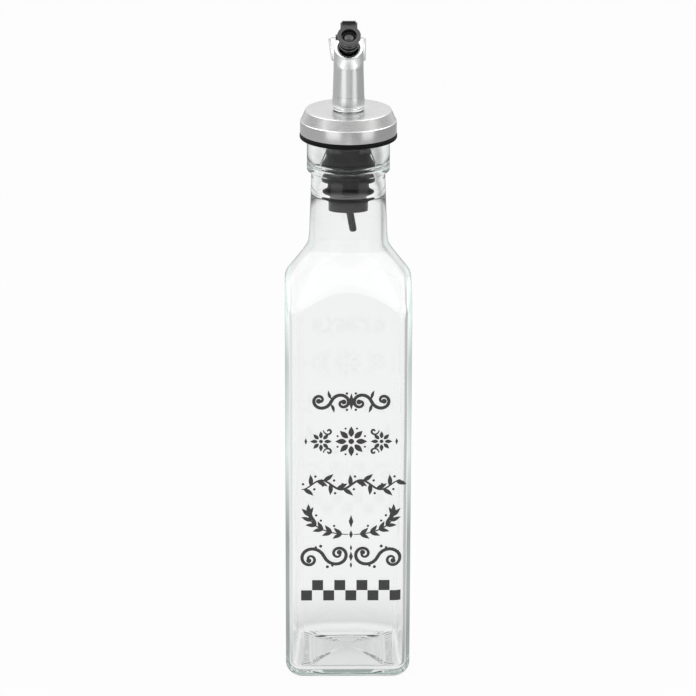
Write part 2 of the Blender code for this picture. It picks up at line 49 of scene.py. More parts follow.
fullTurn = 2 * math.pi


def shares(count):
    # evenly spaced from 0 to 1
    return [step / count for step in range(count + 1)]


def between(first, last, share):
    return first + (last - first) * share


def swing(count, turn=quarterTurn, start=0.0):
    # the sine and cosine at each step of a turn
    angles = [start + turn * share for share in shares(count)]
    return [(math.sin(angle), math.cos(angle)) for angle in angles]


def pick(obj):
    bpy.ops.object.select_all(action="DESELECT")
    obj.select_set(True)
    bpy.context.view_layer.objects.active = obj


def named(name):
    # the object that was just added gets its own name, and so does its data
    obj = bpy.context.object
    obj.name = name
    obj.data.name = name
    return obj


def startEdit(obj):
    pick(obj)
    bpy.ops.object.mode_set(mode="EDIT")
    bpy.ops.mesh.select_mode(type="VERT")
    bpy.ops.mesh.select_all(action="SELECT")


def endEdit():
    bpy.ops.object.mode_set(mode="OBJECT")


def applyPlace(obj):
    pick(obj)
    bpy.ops.object.transform_apply(location=True, rotation=True, scale=True)


def applyAll(obj):
    pick(obj)
    for modifier in list(obj.modifiers):
        bpy.ops.object.modifier_apply(modifier=modifier.name)


def cleanUp(obj, threshold=0.002 * mm):
    # doubles merged, slivers that a cut left open closed, and all faces turned outwards
    startEdit(obj)
    bpy.ops.mesh.remove_doubles(threshold=threshold)
    bpy.ops.mesh.fill_holes(sides=4)
    bpy.ops.mesh.normals_make_consistent(inside=False)
    endEdit()


def roundEdges(obj, width, segments=3, angle=30):
    bevel = obj.modifiers.new("roundEdges", "BEVEL")
    bevel.width = width
    bevel.segments = segments
    bevel.limit_method = "ANGLE"
    bevel.angle_limit = math.radians(angle)
    applyAll(obj)


def cut(obj, cutter):
    change = obj.modifiers.new("cut", "BOOLEAN")
    change.operation = "DIFFERENCE"
    change.solver = "EXACT"
    change.object = cutter
    applyAll(obj)
    bpy.data.objects.remove(cutter)


def drawChain(name, points):
    # one vertex, extruded from point to point and left in edit mode
    bpy.ops.mesh.primitive_plane_add(size=mm)
    obj = named(name)
    startEdit(obj)
    bpy.ops.mesh.merge(type="CENTER")
    bpy.ops.transform.translate(value=points[0])
    for before, after in zip(points, points[1:]):
        step = [new - old for old, new in zip(before, after)]
        bpy.ops.mesh.extrude_region_move(TRANSFORM_OT_translate={"value": step})
    return obj


def lathe(name, profile, steps=96, closed=True):
    # a profile of (radius, height), spun round the Z axis
    obj = drawChain(name, [(radius, 0, height) for radius, height in profile])
    if closed:
        drawn = bmesh.from_edit_mesh(obj.data)
        for vert in drawn.verts:
            vert.select_set(len(vert.link_edges) < 2)
        bmesh.update_edit_mesh(obj.data)
        bpy.ops.mesh.edge_face_add()
    bpy.ops.mesh.select_all(action="SELECT")
    bpy.ops.mesh.spin(steps=steps, angle=fullTurn, center=(0, 0, 0), axis=(0, 0, 1))
    endEdit()
    cleanUp(obj)
    return obj


def stairs(start, *treads):
    # points of a profile that goes out or in to each radius, and from there up or down to each height
    profile = [start]
    for radius, height in treads:
        profile += [(radius, profile[-1][1]), (radius, height)]
    return profile


def frameSizes(node):
    low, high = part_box(node)
    return {"bottom": low.z, "top": high.z, "radius": high.x}


def thicken(obj, radius, resolution):
    # a curve becomes the mesh of a tube with closed ends
    pick(obj)
    obj.data.bevel_depth = radius
    obj.data.bevel_resolution = resolution
    obj.data.use_fill_caps = True
    bpy.ops.object.convert(target="MESH")
    return bpy.context.object


def boxBetween(name, low, high):
    low, high = Vector(low), Vector(high)
    bpy.ops.mesh.primitive_cube_add(size=1, location=(low + high) / 2)
    obj = named(name)
    obj.scale = high - low
    applyPlace(obj)
    return obj


def rod(name, radius, length, centre=(0, 0, 0), across=False, sides=32):
    # a cylinder along Z, or across, along X
    turn = (0, quarterTurn, 0) if across else (0, 0, 0)
    bpy.ops.mesh.primitive_cylinder_add(
        vertices=sides, radius=radius, depth=length, location=centre, rotation=turn
    )
    return named(name)


def joined(name, pieces):
    # several meshes become one object, which keeps the first one's place
    pick(pieces[0])
    for piece in pieces:
        piece.select_set(True)
    bpy.ops.object.join()
    return named(name)


def finish(obj, look, body, slot, *nodes, smoothTo=35):
    pick(obj)
    bpy.ops.object.shade_smooth_by_angle(angle=math.radians(smoothTo))
    obj.data.materials.clear()
    obj.data.materials.append(materials[look])
    if nodes:
        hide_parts(*nodes)
    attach(obj, body)


def newMaterial(name):
    material = bpy.data.materials.new(name)
    material.use_nodes = True
    return material, material.node_tree, material.node_tree.nodes["Principled BSDF"]


def feed(tree, inputs, values):
    # each input gets an output, a number or vector, or for a colour three parts or one grey
    for name, value in values.items():
        socket = inputs[name]
        if isinstance(value, bpy.types.NodeSocket):
            tree.links.new(value, socket)
        elif socket.type != "RGBA":
            socket.default_value = value
        else:
            socket.default_value = (*value, 1) if isinstance(value, tuple) else (value, value, value, 1)


def addNode(tree, kind, values=None, **settings):
    node = tree.nodes.new("ShaderNode" + kind)
    for name, value in settings.items():
        setattr(node, name, value)
    feed(tree, node.inputs, values or {})
    return node


def mixColours(tree, share, first, second):
    # first where share is 0, second where it is 1: a colour mix takes them on its sockets 6 and 7
    return addNode(tree, "Mix", {0: share, 6: first, 7: second}, data_type="RGBA").outputs[2]


def compute(tree, operation, *values):
    return addNode(tree, "Math", dict(enumerate(values)), operation=operation).outputs[0]


def mapTo(tree, value, fromMin, fromMax, toMin=0.0, toMax=1.0):
    # a value between two limits, moved between two others and held there
    limits = {"From Min": fromMin, "From Max": fromMax, "To Min": toMin, "To Max": toMax}
    return addNode(tree, "MapRange", {"Value": value, **limits}).outputs["Result"]


def splitUp(tree, vector):
    return addNode(tree, "SeparateXYZ", {0: vector}).outputs


def greyRamp(tree, along, steps, tint=(1, 1, 1)):
    # a grey for each place along an output that runs from 0 to 1
    ramp = addNode(tree, "ValToRGB", {"Fac": along})
    stops = ramp.color_ramp.elements
    for number, (place, grey) in enumerate(steps):
        stop = stops[number] if number < 2 else stops.new(place)
        stop.position = place
        stop.color = (*(grey * part for part in tint), 1)
    return ramp.outputs["Color"]


grain = {"noise": {"Detail": 3.0, "Roughness": 0.6}, "contrast": (0.3, 0.7)}
grainSockets = (
    ("Scale", "INPUT", "Float"), ("Stretch", "INPUT", "Vector"), ("Roughness", "INPUT", "Float"),
    ("Spread", "INPUT", "Float"), ("Dark", "INPUT", "Color"), ("Light", "INPUT", "Color"),
    ("Colour", "OUTPUT", "Color"), ("Roughness", "OUTPUT", "Float"), ("Height", "OUTPUT", "Float"),
)


def buildSpeckleGroup():
    # fine grain: a colour between dark and light, a roughness that varies about its middle, and a bump height
    group = bpy.data.node_groups.new("speckle", "ShaderNodeTree")
    for name, side, kind in grainSockets:
        group.interface.new_socket(name=name, in_out=side, socket_type="NodeSocket" + kind)
    given = group.nodes.new("NodeGroupInput").outputs
    place = addNode(group, "TexCoord").outputs["Object"]
    place = addNode(group, "VectorMath", {0: place, 1: given["Stretch"]}, operation="MULTIPLY").outputs[0]
    noiseNode = addNode(group, "TexNoise", {"Vector": place, "Scale": given["Scale"], **grain["noise"]})
    speckle = mapTo(group, noiseNode.outputs["Fac"], *grain["contrast"])
    centred = compute(group, "SUBTRACT", speckle, 0.5)
    feed(group, group.nodes.new("NodeGroupOutput").inputs, {
        "Colour": mixColours(group, speckle, given["Dark"], given["Light"]),
        "Roughness": compute(group, "MULTIPLY_ADD", centred, given["Spread"], given["Roughness"]),
        "Height": speckle,
    })
    return group


speckleGroup = buildSpeckleGroup()


def speckled(name, look):
    # a metal, plastic, rubber or ink whose colour, roughness and bump come from the speckle group
    material, tree, shader = newMaterial(name)
    values = {name: look[name.lower()] for name, side, kind in grainSockets if side == "INPUT"}
    speckle = addNode(tree, "Group", values, node_tree=speckleGroup).outputs
    values = {"Strength": look["bump"], "Distance": look["depth"], "Height": speckle["Height"]}
    feed(tree, shader.inputs, {
        "Base Color": speckle["Colour"], "Roughness": speckle["Roughness"],
        "Normal": addNode(tree, "Bump", values).outputs["Normal"],
        "Metallic": look["metallic"], "Specular IOR Level": look["specular"],
    })
    return material


steel = {"stretch": (1, 1, 1), "metallic": 1.0, "specular": 0.5}
moulded = {"stretch": (1, 1, 1), "metallic": 0.0, "specular": 0.5}
looks = {
    "satinSteel": steel | {
        "scale": 4200, "roughness": 0.25, "spread": 0.10, "bump": 0.15, "depth": 0.008 * mm,
        "dark": 0.60, "light": (0.71, 0.71, 0.705),
    },
    "tubeSteel": steel | {
        "scale": 1500, "stretch": (1, 1, 0.03), "roughness": 0.29, "spread": 0.05, "bump": 0.03,
        "depth": 0.005 * mm, "dark": (0.70, 0.71, 0.71), "light": (0.77, 0.78, 0.78),
    },
    "wireSteel": steel | {
        "scale": 1500, "roughness": 0.22, "spread": 0.06, "bump": 0.05, "depth": 0.02 * mm,
        "dark": 0.82, "light": 0.92,
    },
    "blackPlastic": moulded | {
        "scale": 1800, "roughness": 0.34, "spread": 0.10, "bump": 0.12, "depth": 0.02 * mm,
        "dark": (0.006, 0.006, 0.007), "light": (0.012, 0.012, 0.013), "specular": 0.8,
    },
    "blackRubber": moulded | {
        "scale": 1400, "roughness": 0.50, "spread": 0.16, "bump": 0.3, "depth": 0.05 * mm,
        "dark": (0.002, 0.002, 0.0025), "light": (0.005, 0.005, 0.0055), "specular": 0.12,
    },
    "printedInk": moulded | {
        "scale": 1200, "roughness": 0.55, "spread": 0.12, "bump": 0.1, "depth": 0.02 * mm,
        "dark": (0.035, 0.035, 0.037), "light": (0.060, 0.060, 0.063),
    },
}
materials = {lookName: speckled(lookName, look) for lookName, look in looks.items()}

clearGlass = {
    "ior": 1.47,
    "roughness": 0.0,
    "tint": (0.62, 0.86, 0.76),
    "density": 7.0,  # per metre, so that only long ways through the wall look green
    "waveScale": 95.0,
    "waveDepth": 0.06 * mm,
    "paintedGlowTones": (  # share of the height and grey of the painted glow: it is darker at the thick base and finish than on the walls
        (0.0, 0.20), (0.06, 0.18), (0.14, 0.22), (0.25, 0.20), (0.41, 0.46),
        (0.58, 0.34), (0.70, 0.60), (0.82, 0.42), (0.93, 0.05), (1.0, 0.08),
    ),
    "paintedGlowTint": (0.93, 1.0, 0.98),
    "mostMirrored": 4,
    "mostCrossed": 12,
}


def makeClearGlass():
    g = clearGlass
    material, tree, shader = newMaterial("clearGlass")
    place = addNode(tree, "TexCoord").outputs["Object"]
    wave = addNode(tree, "TexNoise", {"Vector": place, "Scale": g["waveScale"], "Detail": 1.0}).outputs["Fac"]
    bump = addNode(tree, "Bump", {"Strength": 1.0, "Distance": g["waveDepth"], "Height": wave})
    # painted light: rays that go on bouncing inside the walls would be cut off black, so there the glass
    # glows with a painted grey of such long ways, set by height
    path = addNode(tree, "LightPath").outputs
    mirrored = compute(tree, "GREATER_THAN", path["Glossy Depth"], g["mostMirrored"] - 0.5)
    crossed = compute(tree, "GREATER_THAN", path["Ray Depth"], g["mostCrossed"] - 0.5)
    paintedGlowMask = compute(tree, "MAXIMUM", mirrored, crossed)
    height = mapTo(tree, splitUp(tree, place)["Z"], 0.0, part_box("glass_bottle")[1].z)
    tone = greyRamp(tree, height, g["paintedGlowTones"], g["paintedGlowTint"])
    feed(tree, shader.inputs, {
        "Base Color": 1.0, "Metallic": 0.0, "Roughness": g["roughness"], "IOR": g["ior"],
        "Transmission Weight": 1.0, "Normal": bump.outputs["Normal"],
        # the emission is the painted glow, only on rays past the bounce limits
        "Emission Color": mixColours(tree, paintedGlowMask, 0.0, tone), "Emission Strength": 1.0,
    })
    material.cycles.emission_sampling = "NONE"
    inside = addNode(tree, "VolumeAbsorption", {"Density": g["density"], "Color": g["tint"]})
    tree.links.new(inside.outputs["Volume"], tree.nodes["Material Output"].inputs["Volume"])
    return material


materials["clearGlass"] = makeClearGlass()
print("stage: materials")


cameraView = {
    "place": (-0.0176, -1.2999, 0.5762),
    "turns": (("Z", -0.778), ("X", 71.032), ("Z", 0.146)),  # degrees, from straight down
    "lens": 183.95,  # mm
    "sensor": 36,
    "nearest": 0.01,
}


def makeCamera():
    data = bpy.data.cameras.new("camera")
    data.sensor_width = cameraView["sensor"]
    data.lens = cameraView["lens"]
    data.clip_start = cameraView["nearest"]
    camera = bpy.data.objects.new("camera", data)
    camera.location = cameraView["place"]
    facing = Matrix.Identity(3)
    for axis, degrees in cameraView["turns"]:
        facing = facing @ Matrix.Rotation(math.radians(degrees), 3, axis)
    camera.rotation_euler = facing.to_euler()
    bpy.context.scene.collection.objects.link(camera)
    bpy.context.scene.camera = camera


makeCamera()

studio = {
    "floorSize": 6.0,
    "floorColour": (0.88, 0.88, 0.88),
    "floorRoughness": 0.9,
    "floorWhite": 0.955,  # how much of the seen floor is plain white, the rest keeps the shadow
    "seenThrough": 0.955,  # brightness of the background where glass shows it
    "edges": (  # the axis that a ray is bent along, from and to, and the share of that brightness at each
        ("X", -0.38, -0.85, 1.0, 0.8), ("X", 0.34, 0.75, 1.0, 0.5),
        ("Y", -0.4, 0.3, 0.7, 1.0), ("Z", 0.16, 0.36, 1.0, 0.1),
    ),
    "underBottle": 0.87,  # brightness of the floor that the base shows, in its own shadow
    "underRadii": (0.0215, 0.0245),  # where that ends
    "roundRadius": 0.1,  # then shares of this radius, and the brightness of the floor there through the glass: a painted shade ring round the bottle
    "paintedShadeRing": (
        (0.0, 1.0), (0.29, 1.0), (0.35, 0.74), (0.42, 0.80), (0.50, 0.87), (0.60, 0.93), (0.75, 1.0),
    ),
    "floorHalf": 0.5,  # of the floor that metal and glass mirror, with its greys from left to right
    "floorMirrored": ((0.0, 0.57), (0.36, 0.56), (0.5, 0.85), (0.64, 0.54), (1.0, 0.45)),
    "floorRadii": (0.20, 0.45),  # it is white up to the first, and has all of its own greys from the second
    "glassMirrored": 0.4,  # the share of floor and walls that clear glass mirrors
    "wallMirrored": (-1.0, 0.6, 0.56, 0.87),  # from the front to the back, and the brightness there
    "wallSides": (0.55, 0.95, 1.0, 0.70),  # out to either side, and the share of it there
    "worldStrength": 0.38,
    "skyMirrored": 2.0,  # the softbox overhead, as steel mirrors it
    "skyHeights": ((0.45, 0.0), (0.58, 1.0), (0.84, 1.0), (0.93, 0.0)),
    "skyFront": (0.12, 0.28),  # where it ends in front, as height and depth together
    "glassSky": ((0.18, 0.0), (0.36, 2.2), (0.5, 2.6), (0.95, 2.6)),  # and as glass does, by height
}
softLights = {  # place, what it points at, width and height in metres, and brightness, where 1 is white
    "topLight": ((0.0, 0.0, 1.1), (0, 0, 0), (2.6, 1.3), 0.85),
    "leftPanel": ((-0.30, -0.41, 0.24), (0, 0, 0.24), (0.33, 0.36), 0.8),
    "rightPanel": ((0.36, -0.35, 0.24), (0, 0, 0.24), (0.27, 0.36), 0.8),
}


def throughGlass(tree, direction):
    # white for the rays that run on to the floor behind, and darker for those that the glass bends
    # sideways, back or up, which gives it its edges
    s = studio
    direction = splitUp(tree, direction)
    least = s["seenThrough"]
    for axis, *limits in s["edges"]:
        share = mapTo(tree, direction[axis], *limits)
        least = compute(tree, "MINIMUM", compute(tree, "MULTIPLY", share, s["seenThrough"]), least)
    return least


def forGlass(tree, mirrored):
    # rays that a smooth surface mirrors get a share of it, so that glass stays clear over dark pieces
    smoothRay = addNode(tree, "LightPath").outputs["Is Singular Ray"]
    less = compute(tree, "MULTIPLY", smoothRay, 1 - studio["glassMirrored"])
    return mixColours(tree, less, mirrored, 0.0)


def makeFloor():
    # pale and matt, but plain white to the camera, apart from the share that keeps the shadow;
    # metal mirrors it white near the bottle, and greyer further off, most of all at the sides
    s = studio
    bpy.ops.mesh.primitive_plane_add(size=s["floorSize"])
    floor = named("floor")
    material, tree, shader = newMaterial("paleFloor")
    feed(tree, shader.inputs, {
        "Base Color": s["floorColour"], "Roughness": s["floorRoughness"], "Specular IOR Level": 0.0,
    })
    place = addNode(tree, "TexCoord").outputs["Object"]
    distance = addNode(tree, "VectorMath", {0: place}, operation="LENGTH").outputs["Value"]
    across = mapTo(tree, splitUp(tree, place)["X"], -s["floorHalf"], s["floorHalf"])
    far = mapTo(tree, distance, *s["floorRadii"])
    mirrored = forGlass(tree, mixColours(tree, far, 1.0, greyRamp(tree, across, s["floorMirrored"])))
    incoming = addNode(tree, "NewGeometry").outputs["Incoming"]
    direction = addNode(tree, "VectorMath", {0: incoming, "Scale": -1}, operation="SCALE").outputs[0]
    # painted shade: seen through the glass, the floor is darkened by its distance from the bottle's axis, and
    # under the base it takes the painted shadow grey
    shade = greyRamp(tree, mapTo(tree, distance, 0.0, s["roundRadius"]), s["paintedShadeRing"])
    through = compute(tree, "MULTIPLY", throughGlass(tree, direction), shade)
    through = mixColours(tree, mapTo(tree, distance, *s["underRadii"]), s["underBottle"], through)
    path = addNode(tree, "LightPath").outputs
    tone = mixColours(tree, path["Is Glossy Ray"], 1.0, mirrored)
    tone = mixColours(tree, path["Is Transmission Ray"], tone, through)
    plain = addNode(tree, "Emission", {"Color": tone, "Strength": 1.0})
    seen = compute(tree, "MAXIMUM", path["Is Camera Ray"], path["Is Glossy Ray"])
    seen = compute(tree, "MAXIMUM", seen, path["Is Transmission Ray"])
    white = compute(tree, "MULTIPLY", seen, s["floorWhite"])
    mix = addNode(tree, "MixShader", {0: white, 1: shader.outputs["BSDF"], 2: plain.outputs["Emission"]})
    tree.links.new(mix.outputs["Shader"], tree.nodes["Material Output"].inputs["Surface"])
    floor.data.materials.append(material)


def makeWorld():
    # white to the camera; mirrored, it is dark in front and at the sides, as behind a studio's lights
    s = studio
    world = bpy.data.worlds.new("studio")
    bpy.context.scene.world = world
    world.use_nodes = True
    tree = world.node_tree
    path = addNode(tree, "LightPath").outputs
    direction = addNode(tree, "TexCoord").outputs["Generated"]
    part = splitUp(tree, direction)
    depth = mapTo(tree, part["Y"], *s["wallMirrored"])
    side = mapTo(tree, compute(tree, "ABSOLUTE", part["X"]), *s["wallSides"])
    mirrored = forGlass(tree, compute(tree, "MULTIPLY", depth, side))
    overhead = mapTo(tree, compute(tree, "ADD", part["Y"], part["Z"]), *s["skyFront"])
    sky = compute(tree, "MULTIPLY", greyRamp(tree, part["Z"], s["skyHeights"]), overhead)
    sky = compute(tree, "MULTIPLY", sky, s["skyMirrored"])
    sky = mixColours(tree, path["Is Singular Ray"], sky, greyRamp(tree, part["Z"], s["glassSky"]))
    mirrored = compute(tree, "ADD", mirrored, sky)
    tone = mixColours(tree, path["Is Glossy Ray"], s["worldStrength"], mirrored)
    tone = mixColours(tree, path["Is Transmission Ray"], tone, throughGlass(tree, direction))
    tone = mixColours(tree, path["Is Camera Ray"], tone, 1.0)
    feed(tree, tree.nodes["Background"].inputs, {"Color": tone, "Strength": 1.0})


def makeSoftLight(name, place, aim, size, brightness):
    # an area light of a given brightness gives off pi times its area in watts
    data = bpy.data.lights.new(name, "AREA")
    data.shape = "RECTANGLE"
    data.size, data.size_y = size
    data.energy = brightness * math.pi * size[0] * size[1]
    light = bpy.data.objects.new(name, data)
    light.location = place
    light.rotation_euler = (Vector(aim) - Vector(place)).to_track_quat("-Z", "Y").to_euler()
    light.visible_camera = False
    light.visible_transmission = False
    bpy.context.scene.collection.objects.link(light)


makeFloor()
makeWorld()
for lightName, lightValues in softLights.items():
    makeSoftLight(lightName, *lightValues)
bpy.context.scene.view_settings.view_transform = "Standard"
print("stage: camera, floor and lights")


# A square body whose corners are drawn in to a round neck: each ring is a rounded square met by a circle.

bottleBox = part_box("glass_bottle")
bottle = {
    "halfWidth": bottleBox[1].x,
    "height": bottleBox[1].z,
    "cornerRadius": 7.0 * mm,
    "leastCorner": 0.7 * mm,
    "heelRadius": 5.4 * mm,
    "bearingWidth": 5.2 * mm,
    "bearingEdge": 0.5 * mm,
    "pushUp": 2.2 * mm,
    "wall": 2.6 * mm,
    "floorThickness": 3.4 * mm,
    "floorRound": 2.8 * mm,
    "shoulderFoot": 147.1 * mm,
    "filletHeight": 171.8 * mm,
    "neckFoot": 174.5 * mm,
    "shoulderSpare": (6.0 * mm, 2.0 * mm),  # how far its close rings go on below and above
    "neckTop": 199.8 * mm,
    "neckTopRadius": 14.05 * mm,
    "neckTaper": 0.03,
    "neckWall": 2.3 * mm,
    "shoulderSlope": 0.7597,
    "neckFillet": 2.2 * mm,
    "blend": 1.6 * mm,
    "shoulderDrop": 1.2 * mm,
    "seamHeight": 193.4 * mm,
    "seamProfile": ((-0.15, 0), (-0.05, 0.1), (0.05, 0.1), (0.15, 0)),  # mm up and mm out
    "sweepHeight": 0.9 * mm,  # the hollow under the finish
    "finishBottom": 201.4 * mm,
    "finishRadius": 15.75 * mm,
    "finishEdge": 0.3 * mm,
    "grooveHeights": (203.7 * mm, 205.4 * mm),
    "grooveWidth": 0.42 * mm,
    "grooveDepth": 0.7 * mm,
    "rimRound": 1.2 * mm,
    "boreRadius": 10.5 * mm,
    "boreDepth": 15.5 * mm,
    "boreFlare": 6.5 * mm,
    "ringPoints": 384,
    "stippleCount": 96,
    "stippleDepth": 0.4 * mm,
    "stippleInset": (0.9 * mm, 0.4 * mm),  # from the bearing ring's inner and outer edge
    "creaseWidth": 0.3 * mm,  # the fine crease where each corner starts
    "creaseDepth": 0.1 * mm,
    "creaseShares": (0.03, 0.25, 0.5, 0.75),
    "creaseFade": 0.25,  # the share of the shoulder's rings in which it dies out
    "columnKnots": ((0, 0), (0.52, 0.762), (0.68, 0.812), (1, 1)),  # columns crowd together at the creases
    "waveDepth": 0.10 * mm,  # how uneven the blown inner wall is
    "waves": ((70, 1.0), (190, 0.4)),  # waves to the metre, and their share of the depth
}
shoulderFrom = bottle["shoulderFoot"] - bottle["shoulderSpare"][0]


def awayFromFace(angle):
    # how far this direction turns from the middle of the nearest face
    return abs((angle + quarterTurn / 2) % quarterTurn - quarterTurn / 2)


def squareRadius(angle, half, corner):
    # distance from the axis to the side of a rounded square, in this direction
    turn = awayFromFace(angle)
    straight = half - corner
    if half * math.tan(turn) <= straight:
        return half / math.cos(turn)
    reach = straight * (math.cos(turn) + math.sin(turn))
    return reach + math.sqrt(max(reach**2 - 2 * straight**2 + corner**2, 0))


def softMinimum(first, second, blend):
    share = min(max((1 + (second - first) / blend) / 2, 0), 1)
    return between(second, first, share) - blend * share * (1 - share)


def neckRadius(height):
    return bottle["neckTopRadius"] + bottle["neckTaper"] * (bottle["neckTop"] - height)


def domeRadius(height):
    # the neck's cylinder opening into the cone that rounds off the square's corners
    below = bottle["filletHeight"] - height
    reach = below + math.hypot(below, bottle["neckFillet"])
    return neckRadius(height) + bottle["shoulderSlope"] * reach / 2


def ring(height, inset=0.0, reach=1.0, **effects):
    # a level of the wall: a rounded square drawn in by inset, and inside the circle of radius reach
    plain = {"stipple": 0.0, "wave": 0.0, "crease": 0.0}
    return {"height": height, "inset": inset, "reach": reach} | plain | effects


def columnAngle(share):
    # share of the way round, from one face's middle, to an angle; each eighth is crowded at its crease
    eighth, part = divmod(share * 8, 1)
    if eighth % 2:
        part = 1 - part
    for (fromShare, fromTurn), (toShare, toTurn) in zip(bottle["columnKnots"], bottle["columnKnots"][1:]):
        if part <= toShare:
            turn = between(fromTurn, toTurn, (part - fromShare) / (toShare - fromShare))
            break
    if eighth % 2:
        turn = 1 - turn
    return (eighth + turn) * math.pi / 4


def outerRings():
    b = bottle
    heel = b["heelRadius"]
    bearing = heel + b["bearingWidth"]
    for share in shares(8):  # the hollow under the base, from its middle out
        yield ring(b["pushUp"] * (1 - share**3), between(b["halfWidth"], bearing, share))
    yield ring(0, bearing - b["bearingEdge"])
    inner, outer = b["stippleInset"]
    for share in shares(6):  # the stippled ring that it stands on
        inset = between(bearing - inner, heel + outer, share)
        yield ring(0, inset, stipple=math.sin(math.pi * share))
    for sine, cosine in swing(14):
        yield ring(heel * (1 - cosine), heel * (1 - sine))
    for share in b["creaseShares"]:
        yield ring(between(heel, shoulderFrom, share), crease=1.0)
    for share in shares(46):
        height = between(shoulderFrom, b["neckFoot"] + b["shoulderSpare"][1], share)
        yield ring(height, reach=domeRadius(height), crease=max(1 - share / b["creaseFade"], 0))
    for height, step in b["seamProfile"]:
        height = b["seamHeight"] + height * mm
        yield ring(height, reach=neckRadius(height) + step * mm)
    edge = b["finishRadius"] - b["finishEdge"]
    for sine, cosine in swing(8):  # the hollow sweep out to the finish
        height = b["finishBottom"] - b["sweepHeight"] * (1 - sine)
        yield ring(height, reach=between(b["neckTopRadius"], edge, 1 - cosine))
    for sine, cosine in swing(4)[1:]:
        height = b["finishBottom"] + b["finishEdge"] * (1 - cosine)
        yield ring(height, reach=edge + b["finishEdge"] * sine)
    for middleHeight in b["grooveHeights"]:
        for share in shares(8):
            side = 2 * share - 1
            depth = b["grooveDepth"] * math.cos(side * quarterTurn)**2
            yield ring(middleHeight + side * b["grooveWidth"], reach=b["finishRadius"] - depth)
    for sine, cosine in swing(8):
        radius = b["finishRadius"] - b["rimRound"] * (1 - cosine)
        yield ring(b["height"] - b["rimRound"] * (1 - sine), reach=radius)


def innerRings():
    b = bottle
    for sine, cosine in swing(8):
        radius = b["boreRadius"] + b["rimRound"] * (1 - sine)
        yield ring(b["height"] - b["rimRound"] * (1 - cosine), reach=radius)
    boreBottom = b["height"] - b["boreDepth"]
    neckBore = neckRadius(boreBottom - b["boreFlare"]) - b["neckWall"]
    for share in shares(14):
        ease = share * share * (3 - 2 * share)
        yield ring(boreBottom - b["boreFlare"] * share, reach=between(b["boreRadius"], neckBore, ease))
    for share in reversed(shares(40)):
        height = between(shoulderFrom, b["neckFoot"], share)
        radius = domeRadius(height + b["shoulderDrop"]) - b["neckWall"]
        yield ring(height, b["wall"], radius, wave=1.0)
    floorFrom = b["floorThickness"] + b["floorRound"]
    for share in reversed(shares(16)[1:-1]):
        yield ring(between(floorFrom, shoulderFrom, share), b["wall"], wave=1.0)
    for sine, cosine in swing(10):
        height = b["floorThickness"] + b["floorRound"] * (1 - sine)
        yield ring(height, b["wall"] + b["floorRound"] * (1 - cosine), wave=1.0)
    edge = b["wall"] + b["floorRound"]
    for share in shares(8)[1:]:  # the crowned floor, in to its middle
        height = b["floorThickness"] + b["pushUp"] * math.sin(share * quarterTurn)
        yield ring(height, between(edge, b["halfWidth"], share), wave=1.0 - share)


def ringPoint(row, angle):
    b = bottle
    half = b["halfWidth"] - row["inset"]
    corner = max(b["cornerRadius"] - row["inset"], b["leastCorner"])
    side = squareRadius(angle, half, min(corner, half))
    radius = softMinimum(row["reach"], side, b["blend"]) if row["reach"] < 1 else side
    if row["crease"]:
        away = abs(awayFromFace(angle) - math.atan((half - corner) / half)) * radius / b["creaseWidth"]
        radius -= row["crease"] * b["creaseDepth"] * max(1 - away, 0)
    dash = row["stipple"] * b["stippleDepth"] * (0.5 - 0.5 * math.cos(angle * b["stippleCount"]))
    point = Vector((radius * math.cos(angle), radius * math.sin(angle), row["height"] + dash))
    if row["wave"]:
        uneven = sum(share * noise.noise(point * count) for count, share in b["waves"])
        radius += uneven * row["wave"] * b["waveDepth"]
        point.x, point.y = radius * math.cos(angle), radius * math.sin(angle)
    return point


def makeBottle():
    # a flat grid rolled up: its rows become the rings, and its first and last row the two middles
    rows = [*outerRings(), *innerRings()]
    last = len(rows) - 1
    bpy.ops.mesh.primitive_grid_add(x_subdivisions=bottle["ringPoints"], y_subdivisions=last, size=1)
    obj = named("glassBottle")
    for vert in obj.data.vertices:
        row = rows[round((vert.co.y + 0.5) * last)]
        vert.co = ringPoint(row, columnAngle(vert.co.x + 0.5))
    cleanUp(obj)
    finish(obj, "clearGlass", "bottle", "clear_glass", "glass_bottle", smoothTo=180)


makeBottle()
print("stage: glass bottle")


# The print on the front: five rows of scrolls, leaves and dots over a checker strip, drawn in millimetres.
# A diamond is its half height and width, and a stem its least and greatest width.

